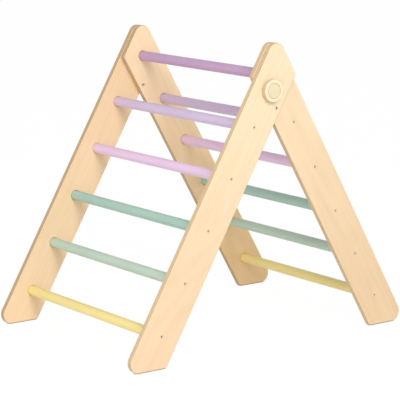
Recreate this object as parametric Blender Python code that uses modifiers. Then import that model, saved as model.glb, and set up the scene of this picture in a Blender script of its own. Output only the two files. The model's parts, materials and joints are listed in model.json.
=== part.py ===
"""Wooden climbing triangle: two ladders of plywood rails and round rungs that fold flat.

The outer ladder leans one way and has its feet at -X, the inner ladder stands between its
rails and has its feet at +X. A pivot bolt on each side joins them, and a wooden knob above it
screws into the inner rail and locks them open. Metres, +Z up, rungs along Y, near side at -Y.
"""

import math

import bmesh
import bpy
from mathutils import Matrix, Vector

# Ladders, as they stand open
LEAN = math.radians(30)
RUNG_PITCH = 0.160
OUTER_RUNGS = 5
INNER_RUNGS = 6
BOTTOM_RUNG_HEIGHT = 0.094
OUTER_WIDTH = 0.700
SIDE_GAP = 0.002

# Rails, cut from plywood
RAIL_WIDTH = 0.122
RAIL_THICKNESS = 0.018
HEAD_TIP_RADIUS = 0.028
HEAD_SIDE_RADIUS = 0.006
FOOT_TOE_RADIUS = 0.030
FOOT_HEEL_RADIUS = 0.014
EDGE_ROUND = 0.003

# Rungs, seated in the rails and screwed from outside
RUNG_RADIUS = 0.015
RUNG_SEAT_DEPTH = 0.006
RUNG_END_CHAMFER = 0.001

# Countersunk wood screws with a hexagon socket
SCREW_LENGTH = 0.050
SCREW_RADIUS = 0.0025
SCREW_HEAD_RADIUS = 0.0047
SCREW_HEAD_RIM = 0.0006
SCREW_TIP_LENGTH = 0.006
SCREW_TIP_RADIUS = 0.0004
SCREW_SOCKET_RADIUS = 0.0023
SCREW_SOCKET_DEPTH = 0.0020
SCREW_SUNK = 0.0003

# Pivot bolt: a sleeve nut through both rails, closed by a screw from inside
PIVOT_DROP = 0.090
SLEEVE_RADIUS = 0.0045
PIVOT_HEAD_RADIUS = 0.0060
PIVOT_HEAD_THICKNESS = 0.0028
PIVOT_SOCKET_RADIUS = 0.0029
PIVOT_SOCKET_DEPTH = 0.0018
PIVOT_SCREW_RADIUS = 0.0029
PIVOT_SCREW_LENGTH = 0.020
PIVOT_WASHER_RADIUS = 0.011

# Lock: a turned knob on a threaded stud, and the insert it screws into
LOCK_SETBACK = 0.044
KNOB_RADIUS = 0.032
KNOB_THICKNESS = 0.016
KNOB_ROUND = 0.002
KNOB_GROOVE_RADIUS = 0.0215
KNOB_GROOVE_WIDTH = 0.0016
KNOB_GROOVE_DEPTH = 0.0010
KNOB_DISH_DEPTH = 0.0004
STUD_RADIUS = 0.0040
STUD_BITE = 0.011
STUD_POINT = 0.0010
LOCK_WASHER_RADIUS = 0.010
LOCK_WASHER_THICKNESS = 0.001
INSERT_RADIUS = 0.0060
INSERT_LENGTH = 0.013

# Clearances between pieces that touch or run in each other
FIT = 0.0003
HEAD_FIT = 0.0004
CUT_OVERRUN = 0.004
WELD = 0.00002

# Facets
ROUND_STEPS = 16
SCREW_STEPS = 12
KNOB_STEPS = 32
CORNER_STEP = math.radians(15)
EDGE_SEGMENTS = 2
SHARP_ANGLE = math.radians(35)
SHARP_EDGE = math.radians(60)
FLAT_ANGLE = math.radians(0.5)

# Colours and finishes
WOOD_ROUGHNESS = 0.5
PAINT_ROUGHNESS = 0.45
METAL_ROUGHNESS = 0.35
BIRCH_FACE = (0.91, 0.71, 0.47)
BIRCH_KNOB = (0.92, 0.74, 0.51)
ZINC = (0.62, 0.61, 0.58)
BRASS = (0.72, 0.55, 0.28)
PURPLE = (0.50, 0.30, 0.54)
LAVENDER = (0.60, 0.46, 0.66)
PINK = (0.75, 0.49, 0.72)
TEAL = (0.36, 0.58, 0.52)
GREEN = (0.45, 0.66, 0.52)
YELLOW = (0.90, 0.74, 0.28)
RUNG_PAINTS = (
    ("purple", PURPLE),
    ("lavender", LAVENDER),
    ("pink", PINK),
    ("teal", TEAL),
    ("green", GREEN),
    ("yellow", YELLOW),
)

# Places that follow from the sizes
SIDES = (("near", -1), ("far", 1))
OUTER_FOOT = -1
INNER_FOOT = 1
CROSSING_HEIGHT = BOTTOM_RUNG_HEIGHT + (INNER_RUNGS - 1) * RUNG_PITCH * math.cos(LEAN)
CROSSING = Vector((0, 0, CROSSING_HEIGHT))
OUTER_FACE = OUTER_WIDTH / 2
INNER_FACE = OUTER_FACE - RAIL_THICKNESS - SIDE_GAP
PIVOT = CROSSING - Vector((0, 0, PIVOT_DROP))


def down_rail(foot):
    """Direction from the crossing down a ladder whose feet are on side foot of X."""
    return Vector((foot * math.sin(LEAN), 0, -math.cos(LEAN)))


LOCK = CROSSING + LOCK_SETBACK * down_rail(OUTER_FOOT)


def clear_scene():
    for obj in list(bpy.data.objects):
        bpy.data.objects.remove(obj, do_unlink=True)


def new_collection(name):
    collection = bpy.data.collections.new(name)
    bpy.context.scene.collection.children.link(collection)
    return collection


def material(name, colour, roughness, metallic=0):
    """A plain Principled material, made once for each name."""
    found = bpy.data.materials.get(name)
    if found:
        return found
    made = bpy.data.materials.new(name)
    made.use_nodes = True
    shader = made.node_tree.nodes["Principled BSDF"]
    shader.inputs["Base Color"].default_value = (*colour, 1)
    shader.inputs["Roughness"].default_value = roughness
    shader.inputs["Metallic"].default_value = metallic
    made.diffuse_color = (*colour, 1)
    return made


def birch():
    return material("birch_plywood", BIRCH_FACE, WOOD_ROUGHNESS)


def zinc():
    return material("zinc_plated_steel", ZINC, METAL_ROUGHNESS, 1)


def evaluated_mesh(obj):
    """The object's mesh with its modifiers applied, and curves turned into faces."""
    bpy.context.view_layer.update()
    graph = bpy.context.evaluated_depsgraph_get()
    return bpy.data.meshes.new_from_object(obj.evaluated_get(graph), depsgraph=graph)


def smooth(mesh):
    mesh.shade_smooth()
    mesh.set_sharp_from_angle(angle=SHARP_ANGLE)


def add_object(name, mesh, collection, finish=None):
    obj = bpy.data.objects.new(name, mesh)
    collection.objects.link(obj)
    if finish:
        mesh.materials.clear()
        mesh.materials.append(finish)
    return obj


def as_cutter(obj):
    obj.hide_render = True
    obj.display_type = "WIRE"
    return obj


def turned_mesh(name, profile, steps, ring=False):
    """Turn (radius, height) points, listed top to bottom down the outside, about local Z."""
    outline = bpy.data.meshes.new(name + "_profile")
    points = [(radius, 0, height) for radius, height in profile]
    count = len(points)
    edges = [(i, i + 1) for i in range(count - 1)]
    if ring:
        edges.append((count - 1, 0))
    outline.from_pydata(points, edges, [])
    guide = bpy.data.objects.new(name + "_profile", outline)
    bpy.context.scene.collection.objects.link(guide)
    screw = guide.modifiers.new("turn", "SCREW")
    screw.axis = "Z"
    screw.angle = math.tau
    screw.steps = steps
    screw.render_steps = steps
    screw.use_merge_vertices = True
    screw.merge_threshold = WELD
    mesh = evaluated_mesh(guide)
    mesh.name = name
    bpy.data.objects.remove(guide, do_unlink=True)
    bpy.data.meshes.remove(outline)
    smooth(mesh)
    return mesh


def face_out(obj, place, side):
    """Put a turned piece at place with its local Z pointing out of the object on that side."""
    obj.location = place
    obj.rotation_euler = (-side * math.pi / 2, 0, 0)
    return obj


def on_face(point, side, distance):
    """The point moved along Y to a distance from the middle plane."""
    return Vector((point.x, side * distance, point.z))


def ride_on(pieces, empty):
    """Parent pieces to an empty without moving them."""
    for piece in pieces:
        piece.parent = empty
        piece.matrix_parent_inverse = Matrix.Translation(empty.location).inverted()


def add_empty(name, place, collection):
    empty = bpy.data.objects.new(name, None)
    empty.location = place
    empty.empty_display_size = RAIL_THICKNESS
    collection.objects.link(empty)
    return empty


def rounded_outline(corners, radii):
    """A closed outline with an arc of each radius in place of each corner."""
    points = []
    count = len(corners)
    for i, (corner, radius) in enumerate(zip(corners, radii)):
        back = (corners[i - 1] - corner).normalized()
        ahead = (corners[(i + 1) % count] - corner).normalized()
        half = back.angle(ahead) / 2
        centre = corner + (back + ahead).normalized() * radius / math.sin(half)
        start = corner + back * radius / math.tan(half) - centre
        sweep = back.angle_signed(ahead)
        turn = math.copysign(math.pi - 2 * half, sweep)
        steps = math.ceil(abs(turn) / CORNER_STEP)
        for k in range(steps + 1):
            angle = turn * k / steps
            spin = Matrix.Rotation(angle, 2)
            points.append(centre + spin @ start)
    return points


def rail_corners(foot):
    """Sharp corners of a rail in X and Z: head tip, head side, heel and toe."""
    half = RAIL_WIDTH / 2
    across = half / math.cos(LEAN)
    spread = CROSSING_HEIGHT * math.tan(LEAN)
    tip = Vector((0, CROSSING_HEIGHT + half / math.sin(LEAN)))
    side = Vector((-foot * across, CROSSING_HEIGHT))
    heel = Vector((foot * (spread - across), 0))
    toe = Vector((foot * (spread + across), 0))
    return [tip, side, heel, toe]


def rail_blank(name, foot, side, outer_distance, collection):
    """A rail before drilling: a flat outline given its thickness, with rounded edges."""
    corners = rail_corners(foot)
    radii = [HEAD_TIP_RADIUS, HEAD_SIDE_RADIUS, FOOT_HEEL_RADIUS, FOOT_TOE_RADIUS]
    outline = rounded_outline(corners, radii)
    curve = bpy.data.curves.new(name + "_outline", "CURVE")
    curve.dimensions = "2D"
    curve.fill_mode = "BOTH"
    curve.extrude = RAIL_THICKNESS / 2
    spline = curve.splines.new("POLY")
    spline.points.add(len(outline) - 1)
    for point, (x, z) in zip(spline.points, outline):
        point.co = (x, z, 0, 1)
    spline.use_cyclic_u = True
    guide = bpy.data.objects.new(name + "_outline", curve)
    collection.objects.link(guide)
    guide.location = (0, side * (outer_distance - RAIL_THICKNESS / 2), 0)
    guide.rotation_euler = (math.pi / 2, 0, 0)
    mesh = evaluated_mesh(guide)
    mesh.name = name
    bm = bmesh.new()
    bm.from_mesh(mesh)
    bmesh.ops.remove_doubles(bm, verts=bm.verts, dist=WELD)
    bmesh.ops.dissolve_limit(bm, angle_limit=FLAT_ANGLE, verts=bm.verts, edges=bm.edges)
    bmesh.ops.recalc_face_normals(bm, faces=bm.faces)
    bm.to_mesh(mesh)
    bm.free()
    smooth(mesh)
    rail = add_object(name, mesh, collection, birch())
    rail.matrix_world = guide.matrix_world.copy()
    bpy.data.objects.remove(guide, do_unlink=True)
    bevel = rail.modifiers.new("round_edges", "BEVEL")
    bevel.width = EDGE_ROUND
    bevel.segments = EDGE_SEGMENTS
    bevel.limit_method = "ANGLE"
    bevel.angle_limit = SHARP_EDGE
    return rail


def drill(piece, cutters):
    """Cut a piece with every object of a collection of cutters."""
    cut = piece.modifiers.new("drill", "BOOLEAN")
    cut.operation = "DIFFERENCE"
    cut.solver = "EXACT"
    cut.operand_type = "COLLECTION"
    cut.collection = cutters


def rung_hole_mesh():
    """Countersink, screw hole and rung seat through a rail, from its outer face at height 0."""
    head = SCREW_HEAD_RADIUS + HEAD_FIT
    bore = SCREW_RADIUS + FIT
    seat = RUNG_RADIUS + FIT
    rim = -SCREW_SUNK - SCREW_HEAD_RIM
    neck = rim - (head - bore)
    floor = -RAIL_THICKNESS + RUNG_SEAT_DEPTH
    profile = [
        (0, CUT_OVERRUN),
        (head, CUT_OVERRUN),
        (head, rim),
        (bore, neck),
        (bore, floor),
        (seat, floor),
        (seat, -RAIL_THICKNESS - CUT_OVERRUN),
        (0, -RAIL_THICKNESS - CUT_OVERRUN),
    ]
    return turned_mesh("rung_hole", profile, ROUND_STEPS)


def outer_pivot_hole_mesh():
    """Counterbore for the sleeve's head and its bore through the outer rail."""
    head = PIVOT_HEAD_RADIUS + FIT
    bore = SLEEVE_RADIUS + FIT
    floor = -PIVOT_HEAD_THICKNESS - SCREW_SUNK - FIT
    profile = [
        (0, CUT_OVERRUN),
        (head, CUT_OVERRUN),
        (head, floor),
        (bore, floor),
        (bore, -RAIL_THICKNESS - CUT_OVERRUN),
        (0, -RAIL_THICKNESS - CUT_OVERRUN),
    ]
    return turned_mesh("outer_pivot_hole", profile, ROUND_STEPS)


def inner_pivot_hole_mesh():
    """Bore for the sleeve through the inner rail, and the inside counterbore for the screw."""
    head = PIVOT_HEAD_RADIUS + FIT
    bore = SLEEVE_RADIUS + FIT
    floor = -RAIL_THICKNESS + PIVOT_HEAD_THICKNESS + SCREW_SUNK + FIT
    profile = [
        (0, CUT_OVERRUN),
        (bore, CUT_OVERRUN),
        (bore, floor),
        (head, floor),
        (head, -RAIL_THICKNESS - CUT_OVERRUN),
        (0, -RAIL_THICKNESS - CUT_OVERRUN),
    ]
    return turned_mesh("inner_pivot_hole", profile, ROUND_STEPS)


def stud_hole_mesh():
    """Clearance hole for the lock stud through the outer rail."""
    bore = STUD_RADIUS + FIT
    profile = [
        (0, CUT_OVERRUN),
        (bore, CUT_OVERRUN),
        (bore, -RAIL_THICKNESS - CUT_OVERRUN),
        (0, -RAIL_THICKNESS - CUT_OVERRUN),
    ]
    return turned_mesh("stud_hole", profile, ROUND_STEPS)


def insert_hole_mesh():
    """Blind hole for the threaded insert in the inner rail."""
    bore = INSERT_RADIUS + FIT
    floor = -FIT - INSERT_LENGTH - FIT
    profile = [(0, CUT_OVERRUN), (bore, CUT_OVERRUN), (bore, floor), (0, floor)]
    return turned_mesh("insert_hole", profile, ROUND_STEPS)


def rung_axes(foot, first, count):
    """Points where the rungs' axes cross the middle plane, from the top down."""
    step = RUNG_PITCH * down_rail(foot)
    return [CROSSING + step * (first + i) for i in range(count)]


def place_cutters(name, mesh, places, side, distance, cutters):
    for i, place in enumerate(places):
        cutter = add_object(f"{name}_{i + 1}", mesh, cutters)
        face_out(as_cutter(cutter), on_face(place, side, distance), side)


def make_outer_rail(label, side, meshes, parts):
    rail = rail_blank("outer_rail_" + label, OUTER_FOOT, side, OUTER_FACE, parts)
    cutters = new_collection("outer_rail_cutters_" + label)
    axes = rung_axes(OUTER_FOOT, 1, OUTER_RUNGS)
    place_cutters("outer_rung_hole_" + label, meshes["rung"], axes, side, OUTER_FACE, cutters)
    pivot = "outer_pivot_hole_" + label
    place_cutters(pivot, meshes["outer_pivot"], [PIVOT], side, OUTER_FACE, cutters)
    place_cutters("stud_hole_" + label, meshes["stud"], [LOCK], side, OUTER_FACE, cutters)
    drill(rail, cutters)
    return rail


def make_inner_rail(label, side, meshes, parts):
    rail = rail_blank("inner_rail_" + label, INNER_FOOT, side, INNER_FACE, parts)
    cutters = new_collection("inner_rail_cutters_" + label)
    axes = rung_axes(INNER_FOOT, 0, INNER_RUNGS)
    place_cutters("inner_rung_hole_" + label, meshes["rung"], axes, side, INNER_FACE, cutters)
    pivot = "inner_pivot_hole_" + label
    place_cutters(pivot, meshes["inner_pivot"], [PIVOT], side, INNER_FACE, cutters)
    place_cutters("insert_hole_" + label, meshes["insert"], [LOCK], side, INNER_FACE, cutters)
    drill(rail, cutters)
    return rail


def rung_mesh(name, outer_distance):
    """A round rung with a pilot bore for the screw in each end, turned about its length."""
    seat_floor = outer_distance - RAIL_THICKNESS + RUNG_SEAT_DEPTH
    half = seat_floor - FIT
    tip = outer_distance - SCREW_SUNK - SCREW_LENGTH
    bore = SCREW_RADIUS + FIT
    bore_end = tip - FIT
    shoulder = half - RUNG_END_CHAMFER
    upper = [
        (0, bore_end),
        (bore, bore_end),
        (bore, half),
        (RUNG_RADIUS - RUNG_END_CHAMFER, half),
        (RUNG_RADIUS, shoulder),
    ]
    lower = [(radius, -height) for radius, height in reversed(upper)]
    return turned_mesh(name, upper + lower, ROUND_STEPS)


def make_rungs(prefix, foot, first, count, outer_distance, parts):
    rungs = []
    for i, axis in enumerate(rung_axes(foot, first, count)):
        colour_name, colour = RUNG_PAINTS[first + i]
        name = f"{prefix}_rung_{i + 1}"
        mesh = rung_mesh(name, outer_distance)
        paint = material("paint_" + colour_name, colour, PAINT_ROUGHNESS)
        rung = add_object(name, mesh, parts, paint)
        rungs.append(face_out(rung, axis, 1))
    return rungs


def socketed_mesh(name, mesh, top, radius, depth, cutters):
    """Sink a hexagon socket into a turned mesh whose head faces up at height top."""
    tool = bmesh.new()
    height = depth + CUT_OVERRUN
    bmesh.ops.create_cone(
        tool, cap_ends=True, segments=6, radius1=radius, radius2=radius, depth=height
    )
    bmesh.ops.translate(tool, verts=tool.verts, vec=(0, 0, top - depth + height / 2))
    tool_mesh = bpy.data.meshes.new(name + "_hexagon")
    tool.to_mesh(tool_mesh)
    tool.free()
    tool_object = as_cutter(add_object(name + "_hexagon", tool_mesh, cutters))
    body = bpy.data.objects.new(name, mesh)
    bpy.context.scene.collection.objects.link(body)
    cut = body.modifiers.new("socket", "BOOLEAN")
    cut.operation = "DIFFERENCE"
    cut.solver = "EXACT"
    cut.object = tool_object
    result = evaluated_mesh(body)
    result.name = name
    bpy.data.objects.remove(body, do_unlink=True)
    smooth(result)
    return result


def screw_mesh(cutters):
    """A countersunk wood screw with its head's top at height 0."""
    neck = -SCREW_HEAD_RIM - (SCREW_HEAD_RADIUS - SCREW_RADIUS)
    profile = [
        (0, 0),
        (SCREW_HEAD_RADIUS, 0),
        (SCREW_HEAD_RADIUS, -SCREW_HEAD_RIM),
        (SCREW_RADIUS, neck),
        (SCREW_RADIUS, SCREW_TIP_LENGTH - SCREW_LENGTH),
        (SCREW_TIP_RADIUS, -SCREW_LENGTH),
        (0, -SCREW_LENGTH),
    ]
    turned = turned_mesh("rung_screw", profile, SCREW_STEPS)
    return socketed_mesh(
        "rung_screw", turned, 0, SCREW_SOCKET_RADIUS, SCREW_SOCKET_DEPTH, cutters
    )


def make_screws(prefix, mesh, axes, side, distance, parts):
    """The screws of one rail, numbered from the top down."""
    screws = []
    for i, axis in enumerate(axes):
        screw = add_object(f"{prefix}_{i + 1}", mesh, parts, zinc())
        screws.append(face_out(screw, on_face(axis, side, distance - SCREW_SUNK), side))
    return screws


def sleeve_mesh(cutters):
    """Sleeve nut: a socketed head at height 0 and a barrel bored for the pivot screw."""
    stack = 2 * RAIL_THICKNESS + SIDE_GAP - 2 * SCREW_SUNK
    end = PIVOT_HEAD_THICKNESS + FIT - stack
    bore = PIVOT_SCREW_RADIUS + FIT
    bore_top = end + PIVOT_SCREW_LENGTH + FIT
    profile = [
        (0, 0),
        (PIVOT_HEAD_RADIUS, 0),
        (PIVOT_HEAD_RADIUS, -PIVOT_HEAD_THICKNESS),
        (SLEEVE_RADIUS, -PIVOT_HEAD_THICKNESS),
        (SLEEVE_RADIUS, end),
        (bore, end),
        (bore, bore_top),
        (0, bore_top),
    ]
    turned = turned_mesh("pivot_sleeve", profile, ROUND_STEPS)
    return socketed_mesh(
        "pivot_sleeve", turned, 0, PIVOT_SOCKET_RADIUS, PIVOT_SOCKET_DEPTH, cutters
    )


def pivot_screw_mesh(cutters):
    """Screw that closes the sleeve from inside, its head's top at height 0."""
    profile = [
        (0, 0),
        (PIVOT_HEAD_RADIUS, 0),
        (PIVOT_HEAD_RADIUS, -PIVOT_HEAD_THICKNESS),
        (PIVOT_SCREW_RADIUS, -PIVOT_HEAD_THICKNESS),
        (PIVOT_SCREW_RADIUS, -PIVOT_HEAD_THICKNESS - PIVOT_SCREW_LENGTH),
        (0, -PIVOT_HEAD_THICKNESS - PIVOT_SCREW_LENGTH),
    ]
    turned = turned_mesh("pivot_screw", profile, ROUND_STEPS)
    return socketed_mesh(
        "pivot_screw", turned, 0, PIVOT_SOCKET_RADIUS, PIVOT_SOCKET_DEPTH, cutters
    )


def washer_mesh(name, outer, bore, thickness):
    """A flat washer, its outer face at height 0."""
    profile = [(bore, 0), (outer, 0), (outer, -thickness), (bore, -thickness)]
    return turned_mesh(name, profile, ROUND_STEPS, ring=True)


def make_pivot(label, side, meshes, parts):
    sleeve = add_object("pivot_sleeve_" + label, meshes["sleeve"], parts, zinc())
    face_out(sleeve, on_face(PIVOT, side, OUTER_FACE - SCREW_SUNK), side)
    screw = add_object("pivot_screw_" + label, meshes["pivot_screw"], parts, zinc())
    inside = INNER_FACE - RAIL_THICKNESS + SCREW_SUNK
    face_out(screw, on_face(PIVOT, side, inside), -side)
    washer = add_object("pivot_washer_" + label, meshes["pivot_washer"], parts, zinc())
    face_out(washer, on_face(PIVOT, side, INNER_FACE + SIDE_GAP - FIT), side)
    return [sleeve, screw, washer]


def knob_mesh():
    """Turned wooden knob, its front at height 0, grooved there and bored behind for the stud."""
    groove_outer = KNOB_GROOVE_RADIUS + KNOB_GROOVE_WIDTH / 2
    groove_inner = KNOB_GROOVE_RADIUS - KNOB_GROOVE_WIDTH / 2
    bore = STUD_RADIUS + FIT
    bore_top = STUD_BITE + FIT - KNOB_THICKNESS
    edge = KNOB_RADIUS - KNOB_ROUND
    quarter = [math.pi / 2 * k / EDGE_SEGMENTS for k in range(EDGE_SEGMENTS + 1)]
    front = [
        (edge + KNOB_ROUND * math.sin(a), -KNOB_ROUND + KNOB_ROUND * math.cos(a))
        for a in quarter
    ]
    back = [(radius, -KNOB_THICKNESS - height) for radius, height in reversed(front)]
    profile = [
        (0, -KNOB_DISH_DEPTH),
        (groove_inner, -KNOB_DISH_DEPTH),
        (groove_inner, -KNOB_GROOVE_DEPTH),
        (groove_outer, -KNOB_GROOVE_DEPTH),
        (groove_outer, 0),
        *front,
        *back,
        (bore, -KNOB_THICKNESS),
        (bore, bore_top),
        (0, bore_top),
    ]
    return turned_mesh("lock_knob", profile, KNOB_STEPS)


def stud_mesh():
    """Threaded stud from inside the knob to just short of the inner rail; knob's back at 0."""
    behind = 2 * FIT + LOCK_WASHER_THICKNESS
    tip = -behind - RAIL_THICKNESS - SIDE_GAP + FIT
    profile = [
        (0, STUD_BITE),
        (STUD_RADIUS, STUD_BITE),
        (STUD_RADIUS, tip + STUD_POINT),
        (STUD_RADIUS - STUD_POINT, tip),
        (0, tip),
    ]
    return turned_mesh("lock_stud", profile, ROUND_STEPS)


def insert_mesh():
    """Threaded insert, its mouth at height 0."""
    profile = [
        (STUD_RADIUS + FIT, 0),
        (INSERT_RADIUS, 0),
        (INSERT_RADIUS, -INSERT_LENGTH),
        (STUD_RADIUS + FIT, -INSERT_LENGTH),
    ]
    return turned_mesh("lock_insert", profile, ROUND_STEPS, ring=True)


def make_lock(label, side, meshes, parts):
    """Knob, stud and washer outside the outer rail. They ride on an empty on the lock's axis."""
    washer = add_object("lock_washer_" + label, meshes["lock_washer"], parts, zinc())
    washer_face = OUTER_FACE + FIT + LOCK_WASHER_THICKNESS
    face_out(washer, on_face(LOCK, side, washer_face), side)
    back = washer_face + FIT
    wood = material("birch_knob", BIRCH_KNOB, WOOD_ROUGHNESS)
    knob = add_object("lock_knob_" + label, meshes["knob"], parts, wood)
    face_out(knob, on_face(LOCK, side, back + KNOB_THICKNESS), side)
    stud = add_object("lock_stud_" + label, meshes["lock_stud"], parts, zinc())
    face_out(stud, on_face(LOCK, side, back), side)
    empty = add_empty("lock_axis_" + label, on_face(LOCK, side, OUTER_FACE), parts)
    ride_on([washer, knob, stud], empty)


def make_insert(label, side, meshes, parts):
    finish = material("brass", BRASS, METAL_ROUGHNESS, 1)
    insert = add_object("lock_insert_" + label, meshes["lock_insert"], parts, finish)
    return face_out(insert, on_face(LOCK, side, INNER_FACE - FIT), side)


def shared_meshes(cutters):
    """Meshes that more than one piece or cutter uses."""
    pivot_gap = SIDE_GAP - 2 * FIT
    pivot_bore = SLEEVE_RADIUS + FIT
    lock_bore = STUD_RADIUS + FIT
    return {
        "rung": rung_hole_mesh(),
        "outer_pivot": outer_pivot_hole_mesh(),
        "inner_pivot": inner_pivot_hole_mesh(),
        "stud": stud_hole_mesh(),
        "insert": insert_hole_mesh(),
        "rung_screw": screw_mesh(cutters),
        "sleeve": sleeve_mesh(cutters),
        "pivot_screw": pivot_screw_mesh(cutters),
        "pivot_washer": washer_mesh("pivot_washer", PIVOT_WASHER_RADIUS, pivot_bore, pivot_gap),
        "lock_washer": washer_mesh(
            "lock_washer", LOCK_WASHER_RADIUS, lock_bore, LOCK_WASHER_THICKNESS
        ),
        "knob": knob_mesh(),
        "lock_stud": stud_mesh(),
        "lock_insert": insert_mesh(),
    }


def main():
    clear_scene()
    parts = new_collection("climbing_triangle")
    cutters = new_collection("socket_cutters")
    meshes = shared_meshes(cutters)
    fold_axis = add_empty("fold_axis", PIVOT, parts)
    outer_axes = rung_axes(OUTER_FOOT, 1, OUTER_RUNGS)
    inner_axes = rung_axes(INNER_FOOT, 0, INNER_RUNGS)
    inner_pieces = []
    for label, side in SIDES:
        make_outer_rail(label, side, meshes, parts)
        inner_pieces.append(make_inner_rail(label, side, meshes, parts))
        screw = meshes["rung_screw"]
        make_screws("outer_screw_" + label, screw, outer_axes, side, OUTER_FACE, parts)
        inner_pieces += make_screws(
            "inner_screw_" + label, screw, inner_axes, side, INNER_FACE, parts
        )
        inner_pieces.append(make_insert(label, side, meshes, parts))
        make_pivot(label, side, meshes, parts)
        make_lock(label, side, meshes, parts)
    make_rungs("outer", OUTER_FOOT, 1, OUTER_RUNGS, OUTER_FACE, parts)
    inner_pieces += make_rungs("inner", INNER_FOOT, 0, INNER_RUNGS, INNER_FACE, parts)
    ride_on(inner_pieces, fold_axis)


main()
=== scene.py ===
"""Folding climbing triangle for toddlers, dressed for the studio.

Two ladders of birch plywood rails and painted rungs stand against each other. The script loads
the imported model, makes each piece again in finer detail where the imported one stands, and sets
up a floor, lights and a camera. Metres, +Z up, rungs along Y, near side at -Y.
"""

import json
import math
from collections import namedtuple
from functools import partial

import bmesh
import bpy
from mathutils import Matrix, Vector

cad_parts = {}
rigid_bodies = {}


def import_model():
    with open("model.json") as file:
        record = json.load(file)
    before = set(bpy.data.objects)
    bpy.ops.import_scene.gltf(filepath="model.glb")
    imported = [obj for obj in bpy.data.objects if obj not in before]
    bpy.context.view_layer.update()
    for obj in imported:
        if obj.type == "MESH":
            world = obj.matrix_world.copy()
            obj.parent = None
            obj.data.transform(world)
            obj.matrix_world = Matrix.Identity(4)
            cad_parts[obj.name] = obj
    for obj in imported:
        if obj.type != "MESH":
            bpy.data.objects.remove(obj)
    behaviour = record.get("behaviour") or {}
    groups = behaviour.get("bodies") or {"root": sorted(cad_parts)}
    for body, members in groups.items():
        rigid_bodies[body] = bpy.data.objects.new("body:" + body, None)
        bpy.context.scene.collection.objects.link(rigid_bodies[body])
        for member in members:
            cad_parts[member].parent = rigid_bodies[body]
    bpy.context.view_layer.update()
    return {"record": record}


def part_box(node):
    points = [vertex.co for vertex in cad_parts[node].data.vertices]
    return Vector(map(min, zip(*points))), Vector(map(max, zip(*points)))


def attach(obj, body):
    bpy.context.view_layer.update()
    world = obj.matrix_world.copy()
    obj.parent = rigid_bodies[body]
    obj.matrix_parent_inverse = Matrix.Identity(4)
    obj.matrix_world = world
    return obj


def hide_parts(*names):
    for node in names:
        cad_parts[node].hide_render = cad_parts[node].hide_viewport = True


bl_info = {
    "name": "Folding climbing triangle",
    "version": (1, 0, 0),
    "blender": (4, 5, 0),
    "location": "View3D > Sidebar > Climbing triangle",
    "description": "Plywood rails, painted rungs, screws, pivots and turned locks of a climbing triangle",
    "category": "Add Mesh",
}

for startup_object in list(bpy.data.objects):
    bpy.data.objects.remove(startup_object, do_unlink=True)

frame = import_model()
BODY_OF = {
    name: body for body, names in frame["record"]["behaviour"]["bodies"].items() for name in names
}
SLOT_OF = {part["node"]: part["material_slot"] for part in frame["record"]["subparts"]}


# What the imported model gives


def packed(prefix):
    """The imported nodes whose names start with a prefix, in order."""
    return sorted(name for name in BODY_OF if name.startswith(prefix))


def middle(name):
    """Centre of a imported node's box."""
    low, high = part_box(name)
    return (low + high) / 2


def extent(name):
    """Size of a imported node's box."""
    low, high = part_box(name)
    return high - low


def outside(name):
    """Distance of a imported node's outermost point from the middle plane."""
    low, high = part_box(name)
    return max(-low.y, high.y)


def inside(name):
    """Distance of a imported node's innermost point from the middle plane."""
    low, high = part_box(name)
    return min(abs(low.y), abs(high.y))


def outside_radius(name):
    """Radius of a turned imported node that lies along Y."""
    return extent(name).x / 2


SIDES = (("near", -1), ("far", 1))
PAINTS = ("purple", "lavender", "pink", "teal", "green", "yellow")
OUTER_RUNGS = packed("outer_rung_")
INNER_RUNGS = packed("inner_rung_")
CROSSING = middle(INNER_RUNGS[0])
OUTER_SLOPE = middle(OUTER_RUNGS[-1]) - middle(OUTER_RUNGS[0])
LEAN = math.atan2(-OUTER_SLOPE.x, -OUTER_SLOPE.z)
PIVOT = middle("pivot_washer_near")
LOCK = middle("lock_washer_near")
RAIL_THICKNESS = extent("outer_rail_near").y
PLIES = 13

# A rail's foot is its side of X, its side is its side of Y, and its face looks outwards
Rail = namedtuple("Rail", "name ladder label foot side face rungs")
RAILS = [
    Rail(f"{ladder}_rail_{label}", ladder, label, foot, side, outside(f"{ladder}_rail_near"), rungs)
    for label, side in SIDES
    for ladder, foot, rungs in (("outer", -1, OUTER_RUNGS), ("inner", 1, INNER_RUNGS))
]

WELD = 0.000002
CUT_SLACK = WELD / 4
LEVEL_SLACK = WELD * 5
OVERRUN = RAIL_THICKNESS / 4
THROUGH = -RAIL_THICKNESS - OVERRUN
SMOOTH_ANGLE = math.radians(32)


# Kinds of settings


def setting(kind, label, description, default, **limits):
    """One setting: its label, what it is for and its default."""
    return kind(name=label, description=description, default=default, **limits)


number = partial(setting, bpy.props.FloatProperty)
metres = partial(number, unit="LENGTH", precision=5)
rotation = partial(number, unit="ROTATION")
facets = partial(setting, bpy.props.IntProperty, min=8)
triple = partial(setting, bpy.props.FloatVectorProperty, size=3)
position = partial(triple, subtype="TRANSLATION", unit="LENGTH")
tone = partial(triple, subtype="COLOR", min=0, max=1)


class TriangleRails(bpy.types.PropertyGroup):
    """Sizes of the four plywood rails"""

    width: metres("Width", "Width of a rail", 0.122)
    tip_radius: metres("Head tip radius", "Rounding of the pointed head", 0.0282)
    side_radius: metres("Head side radius", "Rounding of the head's blunt corner", 0.006)
    toe_radius: metres("Toe radius", "Rounding of the foot's outer corner", 0.030)
    heel_radius: metres("Heel radius", "Rounding of the foot's inner corner", 0.014)
    edge_round: metres("Edge rounding", "Radius of the routed edges", 0.003)
    edge_segments: facets("Edge segments", "Facets across a routed edge", 5, min=1)
    corner_step: rotation(
        "Corner step", "Largest angle between two facets of a corner", math.radians(4)
    )
    hole_steps: facets("Hole steps", "Facets round a drilled hole", 48)
    ply: metres("Ply", "Thickness of one layer of the plywood", RAIL_THICKNESS / PLIES)


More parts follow.
